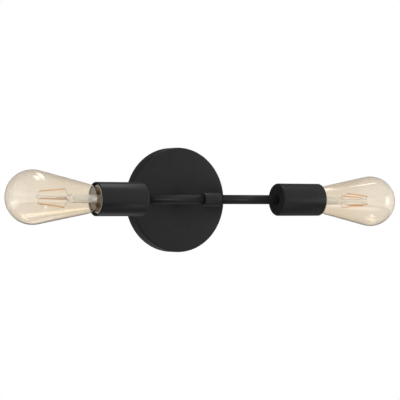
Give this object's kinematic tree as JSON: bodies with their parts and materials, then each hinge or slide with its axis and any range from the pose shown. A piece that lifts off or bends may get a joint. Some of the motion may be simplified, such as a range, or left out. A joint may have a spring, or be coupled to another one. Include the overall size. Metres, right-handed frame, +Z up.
{
  "type": "wall sconce",
  "caption": "Matt black wall sconce: a round canopy and a short arm carry a straight bar with a socket cup and an amber filament lamp at each end.",
  "frame": {"origin": "middle of the crossbar's two screw slots, on the wall plane behind the canopy", "axes": "+X along the bar to the right as seen from the room, +Y into the wall, +Z up"},
  "size_m": [0.5196, 0.1262, 0.127],
  "materials": {
    "black_metal": "matt black powder coat on steel",
    "zinc_steel": "zinc plated steel",
    "connector_plastic": "moulded orange plastic",
    "lug_copper": "tinned copper",
    "ground_green": "green finish on steel",
    "ground_insulation": "green wire insulation",
    "porcelain": "white glazed porcelain",
    "shell_brass": "stamped brass",
    "black_insulation": "black wire insulation",
    "white_insulation": "white wire insulation",
    "plated_base": "nickel plated brass",
    "black_glass": "black glass, opaque",
    "tinned_brass": "tinned brass",
    "cement": "lamp basing cement",
    "board": "glass-epoxy circuit board",
    "amber_glass": "clear amber-tinted glass",
    "clear_glass": "clear glass",
    "phosphor": "orange phosphor in silicone",
    "filament_metal": "bare metal"
  },
  "bodies": {
    "fixture": {"canopy": "black_metal", "crossbar": "zinc_steel", "canopy_screws": "black_metal", "stem": "black_metal", "stem_washer": "zinc_steel", "stem_nut": "zinc_steel", "tee": "black_metal", "wire_connectors": "connector_plastic", "ground_lugs": "lug_copper", "ground_screw": "ground_green", "ground_lead": "ground_insulation", "left_rod": "black_metal", "left_cup": "black_metal", "left_cup_washer": "zinc_steel", "left_cup_nut": "zinc_steel", "left_socket_bracket": "zinc_steel", "left_bracket_screws": "zinc_steel", "left_socket_body": "porcelain", "left_screw_shell": "shell_brass", "left_centre_contact": "shell_brass", "left_line_lead": "black_insulation", "left_neutral_lead": "white_insulation", "right_rod": "black_metal", "right_cup": "black_metal", "right_cup_washer": "zinc_steel", "right_cup_nut": "zinc_steel", "right_socket_bracket": "zinc_steel", "right_bracket_screws": "zinc_steel", "right_socket_body": "porcelain", "right_screw_shell": "shell_brass", "right_centre_contact": "shell_brass", "right_line_lead": "black_insulation", "right_neutral_lead": "white_insulation"},
    "left_contact": {"left_lamp_contact": "tinned_brass"},
    "left_lamp": {"left_lamp_base": "plated_base", "left_lamp_insulator": "black_glass", "left_lamp_cement": "cement", "left_lamp_driver": "board", "left_lamp_glass": "amber_glass", "left_lamp_stem": "clear_glass", "left_lamp_filaments": "phosphor", "left_lamp_filament_ends": "filament_metal", "left_lamp_support_wires": "filament_metal", "left_lamp_lead_wires": "filament_metal"},
    "right_contact": {"right_lamp_contact": "tinned_brass"},
    "right_lamp": {"right_lamp_base": "plated_base", "right_lamp_insulator": "black_glass", "right_lamp_cement": "cement", "right_lamp_driver": "board", "right_lamp_glass": "amber_glass", "right_lamp_stem": "clear_glass", "right_lamp_filaments": "phosphor", "right_lamp_filament_ends": "filament_metal", "right_lamp_support_wires": "filament_metal", "right_lamp_lead_wires": "filament_metal"}
  },
  "joints": [
    {"name": "left_lamp_travel", "type": "slide", "parent": "fixture", "child": "left_contact", "axis": [-1, 0, 0], "range_m": [0, 0.03268]},
    {"name": "left_lamp_turn", "type": "hinge", "parent": "left_contact", "child": "left_lamp", "pos_m": [-0.1203, -0.0955, 0], "axis": [-1, 0, 0], "range_deg": [0, 3240]},
    {"name": "right_lamp_travel", "type": "slide", "parent": "fixture", "child": "right_contact", "axis": [1, 0, 0], "range_m": [0, 0.03268]},
    {"name": "right_lamp_turn", "type": "hinge", "parent": "right_contact", "child": "right_lamp", "pos_m": [0.1203, -0.0955, 0], "axis": [1, 0, 0], "range_deg": [0, 3240]}
  ],
  "couplings": [
    {"joint": "left_lamp_travel", "follows": "left_lamp_turn", "m_per_rad": 0.0005775},
    {"joint": "right_lamp_travel", "follows": "right_lamp_turn", "m_per_rad": 0.0005775}
  ]
}
